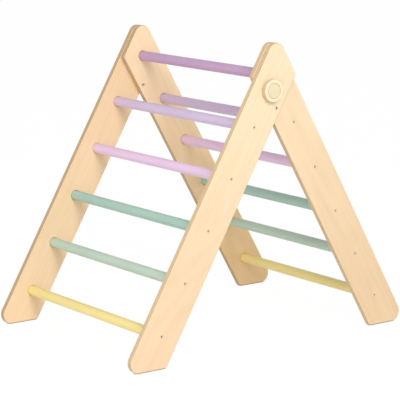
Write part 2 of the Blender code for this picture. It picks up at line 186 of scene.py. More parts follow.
class TriangleRungs(bpy.types.PropertyGroup):
    """Sizes of the rungs and of their seats in the rails"""

    radius: metres("Radius", "Radius of a rung", outside_radius(OUTER_RUNGS[0]))
    seat_depth: metres("Seat depth", "Depth of the round seat for a rung's end", 0.006)
    clearance: metres("Clearance", "Gap round a rung or a fastener in its hole", 0.0003)
    end_chamfer: metres("End chamfer", "Chamfer on a rung's end", 0.001)
    steps: facets("Steps", "Facets round a rung", 64)


class TriangleScrews(bpy.types.PropertyGroup):
    """Sizes of the rung screws and the pivot bolts"""

    head_radius: metres("Head radius", "Radius of a rung screw's countersunk head", 0.0047)
    head_rim: metres("Head rim", "Straight rim above the countersunk cone", 0.0006)
    shank_radius: metres("Shank radius", "Radius over the screw's thread", 0.0025)
    core_radius: metres("Core radius", "Radius at the bottom of the screw's thread", 0.0017)
    thread_pitch: metres("Thread pitch", "Rise of the wood thread in a turn", 0.0022)
    socket_radius: metres("Socket radius", "Corner radius of the hexagon socket", 0.0023)
    socket_depth: metres("Socket depth", "Depth of the hexagon socket", 0.0020)
    pivot_socket_radius: metres(
        "Pivot socket radius", "Corner radius of the pivot bolt's socket", 0.0029
    )
    pivot_head_thickness: metres(
        "Pivot head thickness", "Thickness of the pivot bolt's heads", 0.0028
    )
    sleeve_radius: metres("Sleeve radius", "Radius of the sleeve that the rails turn on", 0.0045)
    pivot_thread_radius: metres(
        "Pivot thread radius", "Radius over the thread of the screw in the sleeve", 0.0029
    )
    steps: facets("Steps", "Facets round a fastener", 32)


class TriangleLocks(bpy.types.PropertyGroup):
    """Sizes of the turned knobs and their studs"""

    edge_round: metres("Edge rounding", "Rounding of the knob's rims", 0.002)
    ring_radius: metres("Ring radius", "Radius of the turned groove on the knob's front", 0.0215)
    ring_width: metres("Ring width", "Width of the turned groove", 0.0016)
    ring_depth: metres("Ring depth", "Depth of the turned groove", 0.0010)
    dish_depth: metres("Dish depth", "How far the field inside the groove is dished", 0.0005)
    stud_radius: metres("Stud radius", "Radius over the stud's thread", 0.0040)
    thread_pitch: metres("Thread pitch", "Rise of the stud's thread in a turn", 0.00125)
    knob_steps: facets("Knob steps", "Facets round the knob", 96)
    thread_steps: facets("Thread steps", "Facets round the stud", 40)


class TriangleFinishes(bpy.types.PropertyGroup):
    """Colours of the wood, the paints and the metal"""

    # Painted light and shade: the four rails are one plywood, yet each rail has its own head and foot
    # tone, lighter or darker for the light and shade that fall on it.
    outer_near: tone("Outer near rail", "Face veneer at the head", (0.90, 0.735, 0.495))
    outer_near_foot: tone("Outer near foot", "Face veneer at the foot", (0.905, 0.66, 0.42))
    inner_near: tone("Inner near rail", "Face veneer at the head", (0.915, 0.71, 0.472))
    inner_near_foot: tone("Inner near foot", "Face veneer at the foot", (0.86, 0.63, 0.378))
    outer_far: tone("Outer far rail", "Face veneer at the head", (0.915, 0.67, 0.405))
    outer_far_foot: tone("Outer far foot", "Face veneer at the foot", (0.925, 0.69, 0.43))
    inner_far: tone("Inner far rail", "Face veneer at the head", (0.965, 0.74, 0.475))
    inner_far_foot: tone("Inner far foot", "Face veneer at the foot", (0.91, 0.635, 0.32))
    near_edge: tone("Near edges", "Plywood edges of the near rails", (0.81, 0.60, 0.35))
    # Painted shade: the far rails' edges are the same plywood as the near ones, in a darker tone.
    far_edge: tone("Far edges", "Plywood edges of the far rails", (0.64, 0.45, 0.24))
    knob: tone("Knob", "Turned birch of the knobs", (0.92, 0.79, 0.55))
    # Partly painted shade: this tone darkens the knob's whole side wall; it is cut grain only where the
    # wall shows end grain.
    knob_edge: tone("Knob edge", "Cut grain round the knobs", (0.62, 0.50, 0.31))
    groove: tone("Knob groove", "Tone at the bottom of the turned groove", (0.58, 0.45, 0.28))
    purple: tone("Purple", "Rung paint", (0.537, 0.322, 0.537))
    lavender: tone("Lavender", "Rung paint", (0.68, 0.535, 0.745))
    pink: tone("Pink", "Rung paint", (0.865, 0.605, 0.84))
    teal: tone("Teal", "Rung paint", (0.378, 0.585, 0.495))
    green: tone("Green", "Rung paint", (0.515, 0.655, 0.53))
    yellow: tone("Yellow", "Rung paint", (0.97, 0.79, 0.285))
    zinc: tone("Zinc plate", "Plated steel of the fasteners", (0.96, 0.81, 0.58))
    brass: tone("Brass", "Threaded inserts", (0.72, 0.55, 0.28))


class TriangleStudio(bpy.types.PropertyGroup):
    """Camera and light"""

    camera_place: position(
        "Camera place", "Where the camera stands", (-3.23070, -4.36788, 1.40618)
    )
    yaw: rotation("Yaw", "Turn of the camera to the right of +Y", math.radians(36.401))
    pitch: rotation("Pitch", "Tilt of the camera below the horizon", math.radians(10.702))
    lens: number("Lens", "Focal length in millimetres", 165.68)
    key_power: number("Key power", "Power of the soft key light in watts", 131)
    key_size: metres("Key size", "Side of the square key light", 2.2)
    key_place: position("Key place", "Where the key light stands", (-1.40, -4.00, 3.05))
    side_power: number("Side power", "Power of the soft side light in watts", 24)
    side_size: metres("Side size", "Side of the square side light", 1.4)
    side_place: position("Side place", "Where the side light stands", (-3.60, -0.60, 0.72))
    fill: number("Fill", "Strength of the room's light from the horizon", 0.79)
    fill_above: number("Fill above", "Strength of the room's light from above", 0.32)
    floor_white: number(
        "Floor white",
        "Share of plain white that the camera sees in the floor",
        0.95,
        subtype="FACTOR",
        min=0,
        max=1,
    )
    contact_reach: metres(
        "Contact reach", "How far the dark line under the feet spreads on the floor", 0.006
    )
    backdrop_strength: number(
        "Backdrop strength", "Strength of the white that the camera sees in the floor", 1.02
    )


class ClimbingTriangle(bpy.types.PropertyGroup):
    """All settings of the climbing triangle"""

    rails: bpy.props.PointerProperty(type=TriangleRails)
    rungs: bpy.props.PointerProperty(type=TriangleRungs)
    screws: bpy.props.PointerProperty(type=TriangleScrews)
    locks: bpy.props.PointerProperty(type=TriangleLocks)
    finishes: bpy.props.PointerProperty(type=TriangleFinishes)
    studio: bpy.props.PointerProperty(type=TriangleStudio)


# Turned, threaded and socketed shapes, each about local Z


def profile_edges(bm, profile):
    """The points and edges of a line of (radius, height) points."""
    verts = [bm.verts.new((radius, 0, height)) for radius, height in profile]
    return verts + [bm.edges.new(pair) for pair in zip(verts, verts[1:])]


def turn(bm, profile, steps):
    """Spin (radius, height) points once round Z."""
    line = profile_edges(bm, profile)
    bmesh.ops.spin(bm, geom=line, axis=(0, 0, 1), angle=math.tau, steps=steps, use_merge=True)
    bmesh.ops.remove_doubles(bm, verts=bm.verts, dist=WELD)


def thread(bm, crest, root, pitch, low, high, steps):
    """A screw thread between two heights, left open at both."""
    spare = 2
    turns = math.ceil((high - low) / pitch) + spare + 1
    bottom = low - spare * pitch
    tooth = ((root, 0), (root, 0.25), (crest, 0.5625), (crest, 0.6875))
    teeth = [(radius, bottom + (i + share) * pitch) for i in range(turns) for radius, share in tooth]
    line = profile_edges(bm, teeth)
    climb = (0, 0, pitch / steps)
    bmesh.ops.spin(bm, geom=line, axis=(0, 0, 1), angle=math.tau, steps=steps, dvec=climb)
    bmesh.ops.remove_doubles(bm, verts=bm.verts, dist=WELD)
    for height, up in ((low, -1), (high, 1)):
        bmesh.ops.bisect_plane(
            bm,
            geom=bm.verts[:] + bm.edges[:] + bm.faces[:],
            dist=CUT_SLACK,
            plane_co=(0, 0, height),
            plane_no=(0, 0, up),
            clear_outer=True,
        )


def socket(bm, radius, depth):
    """A hexagon socket sunk from height 0, open at its mouth. Marks how deep its points lie."""
    recess = bm.verts.layers.float.get("recess") or bm.verts.layers.float.new("recess")
    mouth = bmesh.ops.create_circle(bm, cap_ends=False, segments=6, radius=radius)
    edges = list({edge for vert in mouth["verts"] for edge in vert.link_edges})
    walls = bmesh.ops.extrude_edge_only(bm, edges=edges)
    floor = [item for item in walls["geom"] if isinstance(item, bmesh.types.BMVert)]
    bmesh.ops.translate(bm, verts=floor, vec=(0, 0, -depth))
    bmesh.ops.contextual_create(bm, geom=floor)
    for vert in floor:
        vert[recess] = 1.0


def close_at(bm, height):
    """Fill the flat face between the open edges that lie at a height."""
    edges = [
        edge
        for edge in bm.edges
        if len(edge.link_faces) == 1
        and all(abs(vert.co.z - height) < LEVEL_SLACK for vert in edge.verts)
    ]
    bmesh.ops.triangle_fill(bm, use_beauty=True, edges=edges, normal=(0, 0, 1))


def face_out(bm, place, side, distance):
    """Put a shape at a place and a distance from the middle plane, local Z pointing out."""
    spot = Matrix.Translation((place.x, side * distance, place.z))
    quarter = Matrix.Rotation(-side * math.pi / 2, 4, "X")
    bmesh.ops.transform(bm, matrix=spot @ quarter, verts=bm.verts)


def as_mesh(bm, name):
    """Turn the faces outwards and give back a mesh."""
    bmesh.ops.recalc_face_normals(bm, faces=bm.faces)
    mesh = bpy.data.meshes.new(name)
    bm.to_mesh(mesh)
    bm.free()
    return mesh


def turned_mesh(name, side, steps, profiles, winding=(), recess=(), levels=(), distance=None):
    """Turned profiles, a thread, a socket and flat faces at some heights, as one mesh.

    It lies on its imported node's axis, its height 0 at that node's outer end unless a distance
    from the middle plane is given.
    """
    if distance is None:
        distance = outside(name)
    bm = bmesh.new()
    if winding:
        thread(bm, *winding)
    for profile in profiles:
        turn(bm, profile, steps)
    if recess:
        socket(bm, *recess)
    for height in levels:
        close_at(bm, height)
    face_out(bm, middle(name), side, distance)
    return as_mesh(bm, name)


def in_scene(name, data):
    """A new object in the scene."""
    made = bpy.data.objects.new(name, data)
    bpy.context.scene.collection.objects.link(made)
    return made


def with_modifier(mesh, kind, **settings):
    """The mesh as it is behind one modifier."""
    holder = in_scene(mesh.name, mesh)
    modifier = holder.modifiers.new(kind.lower(), kind)
    for label, value in settings.items():
        setattr(modifier, label, value)
    bpy.context.view_layer.update()
    graph = bpy.context.evaluated_depsgraph_get()
    made = bpy.data.meshes.new_from_object(holder.evaluated_get(graph), depsgraph=graph)
    bpy.data.objects.remove(holder, do_unlink=True)
    made.name = mesh.name
    return made


def set_piece(prefix, name, mesh, finish):
    """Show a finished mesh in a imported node's place, riding on that node's body."""
    mesh.shade_smooth()
    mesh.set_sharp_from_angle(angle=SMOOTH_ANGLE)
    shown = with_modifier(mesh, "WEIGHTED_NORMAL", keep_sharp=True)
    shown.materials.clear()
    shown.materials.append(finish)
    piece = in_scene(f"{prefix}_{name}", shown)
    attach(piece, BODY_OF[name])
    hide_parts(name)


# Shader nodes


def feed(tree, entry, value):
    """Give an input a number, a vector, a colour or another node's output."""
    if isinstance(value, bpy.types.NodeSocket):
        tree.links.new(value, entry)
    elif entry.type == "RGBA":
        entry.default_value = (*value[:3], 1)
    else:
        entry.default_value = value


def add_node(tree, kind, inputs=(), **settings):
    """Add a shader node with its settings and what goes into it."""
    made = tree.nodes.new(kind)
    for label, value in settings.items():
        setattr(made, label, value)
    for label, value in dict(inputs).items():
        feed(tree, made.inputs[label], value)
    return made


def calculate(tree, operation, *values, clamp=False):
    """A Math node's result."""
    made = add_node(
        tree, "ShaderNodeMath", enumerate(values), operation=operation, use_clamp=clamp
    )
    return made.outputs[0]


def times(tree, product, *factors):
    """The product of outputs and numbers."""
    for factor in factors:
        product = calculate(tree, "MULTIPLY", product, factor)
    return product


def weigh(tree, start, *terms):
    """A start value and the sum of outputs times their weights."""
    total = start
    for value, weight in terms:
        total = calculate(tree, "MULTIPLY_ADD", value, weight, total)
    return total


def unsigned(tree, value):
    """A value without its sign."""
    return calculate(tree, "ABSOLUTE", value)


def flipped(tree, value):
    """1 where a value is 0 and 0 where it is 1."""
    return calculate(tree, "SUBTRACT", 1, value)


def rise(tree, value, low, high):
    """0 below low, 1 above high and a smooth rise between them."""
    inputs = {"Value": value, "From Min": low, "From Max": high}
    made = add_node(tree, "ShaderNodeMapRange", inputs, interpolation_type="SMOOTHSTEP")
    return made.outputs[0]


def split(tree, vector):
    """A vector's X, Y and Z."""
    return add_node(tree, "ShaderNodeSeparateXYZ", {0: vector}).outputs


def mix_colour(tree, share, first, second, blend="MIX"):
    """Mix two colours, each a tuple or another node's output."""
    inputs = {0: share, 6: first, 7: second}
    made = add_node(tree, "ShaderNodeMix", inputs, data_type="RGBA", blend_type=blend)
    return made.outputs[2]


def reckon(tree, operation, first, second):
    """A Vector Math node's result."""
    inputs = {0: first, 1: second}
    return add_node(tree, "ShaderNodeVectorMath", inputs, operation=operation).outputs[0]


def speckle(tree, vector, noise):
    """Noise from its grains to a metre along each axis, its detail and its roughness."""
    grains, detail, roughness = noise
    place = reckon(tree, "MULTIPLY", vector, grains)
    inputs = {"Vector": place, "Scale": 1, "Detail": detail, "Roughness": roughness}
    return add_node(tree, "ShaderNodeTexNoise", inputs).outputs[0]


def vary(tree, shade, tone_here, lighten, pale, deep):
    """A tone from slightly paler at shade 0 to slightly deeper at shade 1."""
    light = mix_colour(tree, lighten, tone_here, pale)
    dark = mix_colour(tree, 1, tone_here, deep, "MULTIPLY")
    return mix_colour(tree, shade, light, dark)


# Shader groups. A noise is its grains to a metre along each axis, its detail and its roughness.
# A range is where a mask goes from 0 to 1.

BIRCH_SWAY = ((3, 3, 2.2), 2, 0.5)
BIRCH_RINGS = ((9, 4, 0.75), 1, 0.4)
BIRCH_STREAKS = ((130, 60, 2.6), 3, 0.55)
BIRCH_BLOTCHES = ((10, 6, 2), 2, 0.5)
BIRCH_FIBRES = ((1100, 500, 24), 2, 0.6)
BIRCH_PORES = ((2300, 1200, 120), 1, 0.5)
BIRCH_PORE_RANGE = (0.60, 0.72)
PALE_BIRCH = (1.0, 0.95, 0.85)
DEEP_BIRCH = (0.86, 0.78, 0.68)
SWAY_REACH = 0.03
RING_COUNT = 95
RING_SHARPNESS = 3
FIGURE_MEAN = 0.85

PLY_RIPPLE = ((14, 2, 14), 1, 0.5)
PLY_RIPPLE_HEIGHT = 0.00025
PLY_COUNT_FROM = 40.5
PLY_EDGE_RANGE = (0.99, 0.68)
PLY_END_RANGE = (0.25, 0.95)
PLY_JOINT_RANGE = (0.03, 0.10)

PAINT_GRAIN = ((420, 5, 420), 3, 0.6)
PAINT_CLOUDS = ((22, 5, 22), 2, 0.5)
PAINT_PORES = ((1500, 45, 1500), 1, 0.5)
PAINT_PORE_RANGE = (0.60, 0.74)
PALE_PAINT = (1.0, 0.97, 0.92)
DEEP_PAINT = (0.88, 0.88, 0.88)
SOAKED_PAINT = (0.25, 0.20, 0.18)

METAL_CLOUDS = ((260, 260, 260), 3, 0.5)
METAL_SPECKS = ((4200, 4200, 4200), 2, 0.5)
DEEP_METAL = (0.84, 0.85, 0.88)


def birch_grain(tree, entry):
    """Birch with its grain along Z: broad figure, fibres and fine pores."""
    board = entry["Vector"]
    sway = speckle(tree, board, BIRCH_SWAY)
    push = weigh(tree, -SWAY_REACH / 2, (sway, SWAY_REACH))
    push = add_node(tree, "ShaderNodeCombineXYZ", {"X": push}).outputs[0]
    vector = reckon(tree, "ADD", board, push)
    rings = times(tree, speckle(tree, vector, BIRCH_RINGS), RING_COUNT)
    waves = weigh(tree, 0.5, (calculate(tree, "SINE", rings), 0.5))
    bands = calculate(tree, "POWER", waves, RING_SHARPNESS)
    streaks = speckle(tree, vector, BIRCH_STREAKS)
    blotches = speckle(tree, vector, BIRCH_BLOTCHES)
    fibres = speckle(tree, vector, BIRCH_FIBRES)
    pores = rise(tree, speckle(tree, vector, BIRCH_PORES), *BIRCH_PORE_RANGE)
    figure = weigh(tree, 0, (bands, 0.30), (streaks, 0.9), (blotches, 0.7))
    figure = calculate(tree, "SUBTRACT", figure, FIGURE_MEAN)
    figure = times(tree, figure, entry["Figure"])
    shade = times(tree, calculate(tree, "SUBTRACT", fibres, 0.5), entry["Fibres"])
    shade = weigh(tree, figure, (shade, 0.8), (pores, 0.35))
    shade = calculate(tree, "MULTIPLY_ADD", shade, 0.5, 0.35, clamp=True)
    return {
        "Colour": vary(tree, shade, entry["Tone"], 0.10, PALE_BIRCH, DEEP_BIRCH),
        "Height": weigh(tree, fibres, (pores, -0.6)),
        "Roughness": weigh(tree, 0.40, (fibres, 0.16)),
    }


def ply_layers(tree, entry):
    """Masks of a plywood's layers from the depth below its face and the surface's direction."""
    place = split(tree, entry["Vector"])
    facing = split(tree, entry["Normal"])
    ripple = speckle(tree, entry["Vector"], PLY_RIPPLE)
    depth = weigh(tree, place["Y"], (ripple, PLY_RIPPLE_HEIGHT))
    layer = calculate(tree, "DIVIDE", depth, entry["Ply"])
    layer = calculate(tree, "ADD", layer, PLY_COUNT_FROM)
    index = calculate(tree, "FLOOR", layer)
    cross = calculate(tree, "MODULO", index, 2)
    from_joint = calculate(tree, "PINGPONG", layer, 0.5)
    kept = times(tree, unsigned(tree, facing["Z"]), flipped(tree, cross))
    ends = weigh(tree, kept, (unsigned(tree, facing["X"]), cross))
    tones = add_node(tree, "ShaderNodeTexWhiteNoise", {"W": index}, noise_dimensions="1D")
    return {
        "Edge": rise(tree, unsigned(tree, facing["Y"]), *PLY_EDGE_RANGE),
        "End grain": rise(tree, ends, *PLY_END_RANGE),
        "Glue": flipped(tree, rise(tree, from_joint, *PLY_JOINT_RANGE)),
        "Layer tone": tones.outputs["Value"],
    }


def brushed_paint(tree, entry):
    """Thin paint on a turned rung along Y: faint lengthwise grain below the colour."""
    grain = speckle(tree, entry["Vector"], PAINT_GRAIN)
    clouds = speckle(tree, entry["Vector"], PAINT_CLOUDS)
    pores = rise(tree, speckle(tree, entry["Vector"], PAINT_PORES), *PAINT_PORE_RANGE)
    shade = weigh(tree, clouds, (grain, 0.9))
    shade = calculate(tree, "MULTIPLY_ADD", shade, 0.9, -0.45, clamp=True)
    colour = vary(tree, shade, entry["Paint"], 0.07, PALE_PAINT, DEEP_PAINT)
    return {
        "Colour": mix_colour(tree, times(tree, pores, 0.12), colour, SOAKED_PAINT),
        "Height": weigh(tree, grain, (pores, -0.7)),
        "Roughness": weigh(tree, 0.38, (clouds, 0.14)),
    }


def plated_metal(tree, entry):
    """A plated or drawn metal's small unevenness in colour and polish."""
    clouds = speckle(tree, entry["Vector"], METAL_CLOUDS)
    deep = mix_colour(tree, 1, entry["Tone"], DEEP_METAL, "MULTIPLY")
    return {
        "Colour": mix_colour(tree, clouds, entry["Tone"], deep),
        "Height": speckle(tree, entry["Vector"], METAL_SPECKS),
        "Roughness": weigh(tree, 0.20, (clouds, 0.22)),
    }


COLOUR = "NodeSocketColor"
NUMBER = "NodeSocketFloat"
VECTOR = "NodeSocketVector"
SURFACE = {"Colour": COLOUR, "Height": NUMBER, "Roughness": NUMBER}
GROUP_SOCKETS = {
    birch_grain: (
        {"Vector": VECTOR, "Tone": COLOUR, "Figure": NUMBER, "Fibres": NUMBER},
        SURFACE,
    ),
    ply_layers: (
        {"Vector": VECTOR, "Normal": VECTOR, "Ply": NUMBER},
        {"Edge": NUMBER, "End grain": NUMBER, "Glue": NUMBER, "Layer tone": NUMBER},
    ),
    brushed_paint: ({"Vector": VECTOR, "Paint": COLOUR}, SURFACE),
    plated_metal: ({"Vector": VECTOR, "Tone": COLOUR}, SURFACE),
}


def shader_group(build):
    """The node group that a function builds, named after it and shared once it is there."""
    group = bpy.data.node_groups.get(build.__name__)
    if group is None:
        group = bpy.data.node_groups.new(build.__name__, "ShaderNodeTree")
        for way, sockets in zip(("INPUT", "OUTPUT"), GROUP_SOCKETS[build]):
            for label, kind in sockets.items():
                group.interface.new_socket(name=label, in_out=way, socket_type=kind)
        entry = group.nodes.new("NodeGroupInput").outputs
        leave = group.nodes.new("NodeGroupOutput").inputs
        for label, result in build(group, entry).items():
            feed(group, leave[label], result)
    return group


def use_group(tree, build, inputs):
    """Place a shader group in a material."""
    return add_node(tree, "ShaderNodeGroup", inputs, node_tree=shader_group(build)).outputs


# Finishes. Painted shade along the feet goes by the height above the floor, a knob's front by the depth
# below it.
# A bump is its strength and its height.

CROSS_PLY = (0.42, 0.28, 0.15)
GLUE_LINE = (0.30, 0.18, 0.09)
# Painted contact shade along the feet
PAINTED_FOOT_SHADE = (0.26, 0.16, 0.08)
# Painted shade, near black, in a fastener's socket
PAINTED_SOCKET_SHADE = (0.020, 0.014, 0.009)
END_GRAIN_DOTS = ((1300, 1300, 1300), 2, 0.5)
END_GRAIN_SHADE = (0.85, 0.80, 0.73)
DOT_SHADE = 0.8
OWN_WOOD = (1.7, 2.3, 0.9)
PAINTED_FOOT_SHADE_RANGE = (0.0045, 0.0015)
FOOT_TO_HEAD = (-0.8, 0)
COAT_WEIGHT = 0.06
KNOB_WALL_SHADE_RANGE = (0.60, 0.10)
KNOB_END_RANGE = (0.2, 0.9)
KNOB_FRONT_RANGE = (0.0012, 0.0030)
DISH_FADE = 0.0016
TURNING_PITCH = 0.0007
PAINTED_SOCKET_SHADE_RANGE = (0, 0.12)
WOOD_BUMP = (0.25, 0.00006)
PAINT_BUMP = (0.3, 0.00008)
METAL_BUMP = (0.15, 0.00002)


def new_finish(name):
    """A new material with its tree and its Principled shader."""
    material = bpy.data.materials.new(name)
    material.use_nodes = True
    tree = material.node_tree
    return material, tree, tree.nodes["Principled BSDF"]


def fill_shader(tree, shader, colour, roughness, height, bump):
    """Give a Principled shader its colour, roughness and bump."""
    inputs = {"Height": height, "Strength": bump[0], "Distance": bump[1]}
    normal = add_node(tree, "ShaderNodeBump", inputs).outputs["Normal"]
    feed(tree, shader.inputs["Base Color"], colour)
    feed(tree, shader.inputs["Roughness"], roughness)
    feed(tree, shader.inputs["Normal"], normal)


def lacquer(tree, shader, roughness):
    """Add a thin clear coat."""
    feed(tree, shader.inputs["Coat Weight"], COAT_WEIGHT)
    feed(tree, shader.inputs["Coat Roughness"], roughness)


def centred(tree, vector, centre, angle):
    """Object coordinates about a piece's centre, turned about Y."""
    inputs = {"Vector": vector, "Location": centre, "Rotation": (0, angle, 0)}
    return add_node(tree, "ShaderNodeMapping", inputs, vector_type="TEXTURE").outputs[0]


def plywood_finish(settings, rail):
    """Lacquered birch plywood whose grain runs along a leaning rail."""
    finishes = settings.finishes
    head_tone = getattr(finishes, f"{rail.ladder}_{rail.label}")
    foot_tone = getattr(finishes, f"{rail.ladder}_{rail.label}_foot")
    # The far rails' darker edge tone is painted shade.
    edge_tone = getattr(finishes, f"{rail.label}_edge")
    end_grain = [share * part for share, part in zip(END_GRAIN_SHADE, edge_tone)]
    end_grain_dot = [DOT_SHADE * part for part in end_grain]
    material, tree, shader = new_finish("birch_plywood_" + rail.name)
    place = add_node(tree, "ShaderNodeTexCoord").outputs
    lean = rail.foot * LEAN
    centre = (CROSSING.x, rail.side * (rail.face - RAIL_THICKNESS / 2), CROSSING.z)
    board = centred(tree, place["Object"], centre, -lean)
    inputs = {"Vector": place["Normal"], "Rotation": (0, lean, 0)}
    facing = add_node(tree, "ShaderNodeMapping", inputs, vector_type="VECTOR").outputs[0]
    corner = (rail.foot, rail.side, rail.foot * rail.side)
    own_place = [share * part for share, part in zip(OWN_WOOD, corner)]
    wood = {"Vector": reckon(tree, "ADD", board, own_place)}
    # Painted shade: the veneer tone drifts from head to foot, on most rails darker and warmer towards the
    # feet, most of all on the inner far rail in the near inner rail's shadow.
    headward = rise(tree, split(tree, board)["Z"], *FOOT_TO_HEAD)
    face = {"Tone": mix_colour(tree, headward, foot_tone, head_tone), "Figure": 1, "Fibres": 1}
    grain = use_group(tree, birch_grain, wood | face)
    edge = {"Tone": edge_tone, "Figure": 0.7, "Fibres": 1.6}
    edge_grain = use_group(tree, birch_grain, wood | edge)
    inputs = {"Vector": board, "Normal": facing, "Ply": settings.rails.ply}
    layers = use_group(tree, ply_layers, inputs)
    end_tone = mix_colour(tree, speckle(tree, board, END_GRAIN_DOTS), end_grain, end_grain_dot)
    cut = mix_colour(tree, layers["End grain"], edge_grain["Colour"], end_tone)
    cut = mix_colour(tree, times(tree, layers["Layer tone"], 0.22), cut, CROSS_PLY)
    cut = mix_colour(tree, times(tree, layers["Glue"], 0.30), cut, GLUE_LINE)
    colour = mix_colour(tree, layers["Edge"], grain["Colour"], cut)
    # Painted shade: the rail darkens within a few millimetres of the floor, standing in for the contact
    # shadow under its rounded bottom edge.
    painted_foot_shade = rise(tree, split(tree, place["Object"])["Z"], *PAINTED_FOOT_SHADE_RANGE)
    colour = mix_colour(tree, times(tree, painted_foot_shade, 0.75), colour, PAINTED_FOOT_SHADE)
    fill_shader(tree, shader, colour, grain["Roughness"], grain["Height"], WOOD_BUMP)
    lacquer(tree, shader, 0.35)
    return material


def paint_finish(paint, colour):
    """Satin paint on a rung."""
    material, tree, shader = new_finish("paint_on_birch_" + paint)
    place = add_node(tree, "ShaderNodeTexCoord").outputs["Object"]
    coat = use_group(tree, brushed_paint, {"Vector": place, "Paint": colour})
    fill_shader(tree, shader, coat["Colour"], coat["Roughness"], coat["Height"], PAINT_BUMP)
    return material


def knob_finish(settings, label, side):
    """Turned birch: grain across the knob, fine turning rings, a wall darkened all round (cut grain at
    its ends, painted shade on the rest) and a darker groove.
    """
    ring_radius = settings.locks.ring_radius
    ring_width = settings.locks.ring_width
    finishes = settings.finishes
    material, tree, shader = new_finish("turned_birch_" + label)
    place = add_node(tree, "ShaderNodeTexCoord").outputs
    knob = centred(tree, place["Object"], (LOCK.x, 0, LOCK.z), math.pi / 2)
    facing = split(tree, place["Normal"])
    # Painted shade on the side wall: it is darkened all round, fully where it shows end grain.
    wall = rise(tree, unsigned(tree, facing["Y"]), *KNOB_WALL_SHADE_RANGE)
    ends = rise(tree, unsigned(tree, facing["X"]), *KNOB_END_RANGE)
    cut = times(tree, wall, weigh(tree, 0.65, (ends, 0.35)))
    wood = mix_colour(tree, cut, finishes.knob, finishes.knob_edge)
    inputs = {"Vector": knob, "Tone": wood, "Figure": 0.8, "Fibres": 1}
    grain = use_group(tree, birch_grain, inputs)
    parts = split(tree, knob)
    squares = times(tree, parts["X"], parts["X"])
    squares = weigh(tree, squares, (parts["Z"], parts["Z"]))
    radius = calculate(tree, "SQRT", squares)
    outward = times(tree, parts["Y"], side)
    depth = calculate(tree, "SUBTRACT", outside("lock_knob_near"), outward)
    on_front = flipped(tree, rise(tree, depth, *KNOB_FRONT_RANGE))
    off_ring = unsigned(tree, calculate(tree, "SUBTRACT", radius, ring_radius))
    ring = rise(tree, off_ring, ring_width * 0.85, ring_width * 0.4)
    dish = rise(tree, radius, ring_radius, ring_radius - DISH_FADE)
    colour = grain["Colour"]
    for mask, strength in ((dish, 0.30), (ring, 0.95)):
        share = times(tree, mask, on_front, strength)
        colour = mix_colour(tree, share, colour, finishes.groove)
    turning = calculate(tree, "SINE", times(tree, radius, math.tau / TURNING_PITCH))
    height = weigh(tree, grain["Height"], (turning, 0.25))
    fill_shader(tree, shader, colour, grain["Roughness"], height, WOOD_BUMP)
    lacquer(tree, shader, 0.3)
    return material


def metal_finish(name, colour):
    """Plated steel or brass, with painted shade in a socket: near black and not metallic there."""
    found = bpy.data.materials.get(name)
    if found:
        return found
    material, tree, shader = new_finish(name)
    place = add_node(tree, "ShaderNodeTexCoord").outputs["Object"]
    plate = use_group(tree, plated_metal, {"Vector": place, "Tone": colour})
    # Painted shade: the socket's walls and floor turn near black and lose their metal shine, as if in
    # shadow.
    depth = add_node(tree, "ShaderNodeAttribute", attribute_name="recess")
    dark = rise(tree, depth.outputs["Fac"], *PAINTED_SOCKET_SHADE_RANGE)
    shaded = mix_colour(tree, dark, plate["Colour"], PAINTED_SOCKET_SHADE)
    fill_shader(tree, shader, shaded, plate["Roughness"], plate["Height"], METAL_BUMP)
    bare = flipped(tree, dark)
    feed(tree, shader.inputs["Metallic"], bare)
    feed(tree, shader.inputs["Specular IOR Level"], bare)
    return material


def zinc_finish(settings):
    """The plated steel that all fasteners but the inserts share."""
    return metal_finish("zinc_plated", settings.finishes.zinc)


# Rails


def board_outline(bm, corners, radii, step):
    """Spin a point round each corner, join the arcs and fill the outline."""
    arcs = []
    rows = zip(corners[-1:] + corners[:-1], corners, corners[1:] + corners[:1], radii)
    for before, corner, after, radius in rows:
        back = (before - corner).normalized()
        ahead = (after - corner).normalized()
        half = back.angle(ahead) / 2
        centre = corner + (back + ahead).normalized() * radius / math.sin(half)
        reach = radius / math.tan(half)
        start = bm.verts.new(corner + back * reach)
        axis = (start.co - centre).cross(corner + ahead * reach - centre)
        swept = math.pi - 2 * half
        count = math.ceil(swept / step)
        arc = bmesh.ops.spin(bm, geom=[start], cent=centre, axis=axis, angle=swept, steps=count)
        arcs.append((start, arc["geom_last"][0]))
    for (_, end), (start, _) in zip(arcs, arcs[1:] + arcs[:1]):
        bm.edges.new((end, start))
    bmesh.ops.contextual_create(bm, geom=bm.edges[:])


def rail_blank(rails, rail):
    """A rail before drilling, its edges rounded."""
    half = rails.width / 2
    across = half / math.cos(LEAN)
    spread = CROSSING.z * math.tan(LEAN)
    outer = rail.side * rail.face
    corners = [
        Vector((0, outer, CROSSING.z + half / math.sin(LEAN))),
        Vector((-rail.foot * across, outer, CROSSING.z)),
        Vector((rail.foot * (spread - across), outer, 0)),
        Vector((rail.foot * (spread + across), outer, 0)),
    ]
    radii = (rails.tip_radius, rails.side_radius, rails.heel_radius, rails.toe_radius)
    bm = bmesh.new()
    board_outline(bm, corners, radii, rails.corner_step)
    grown = bmesh.ops.extrude_face_region(bm, geom=bm.faces[:])
    moved = [item for item in grown["geom"] if isinstance(item, bmesh.types.BMVert)]
    bmesh.ops.translate(bm, verts=moved, vec=(0, -rail.side * RAIL_THICKNESS, 0))
    rims = [edge for edge in bm.edges if abs(edge.verts[0].co.y - edge.verts[1].co.y) < WELD]
    bmesh.ops.bevel(
        bm,
        geom=rims,
        offset=rails.edge_round,
        offset_type="OFFSET",
        segments=rails.edge_segments,
        profile=0.5,
        affect="EDGES",
        clamp_overlap=True,
        material=-1,
    )
    return as_mesh(bm, rail.name)


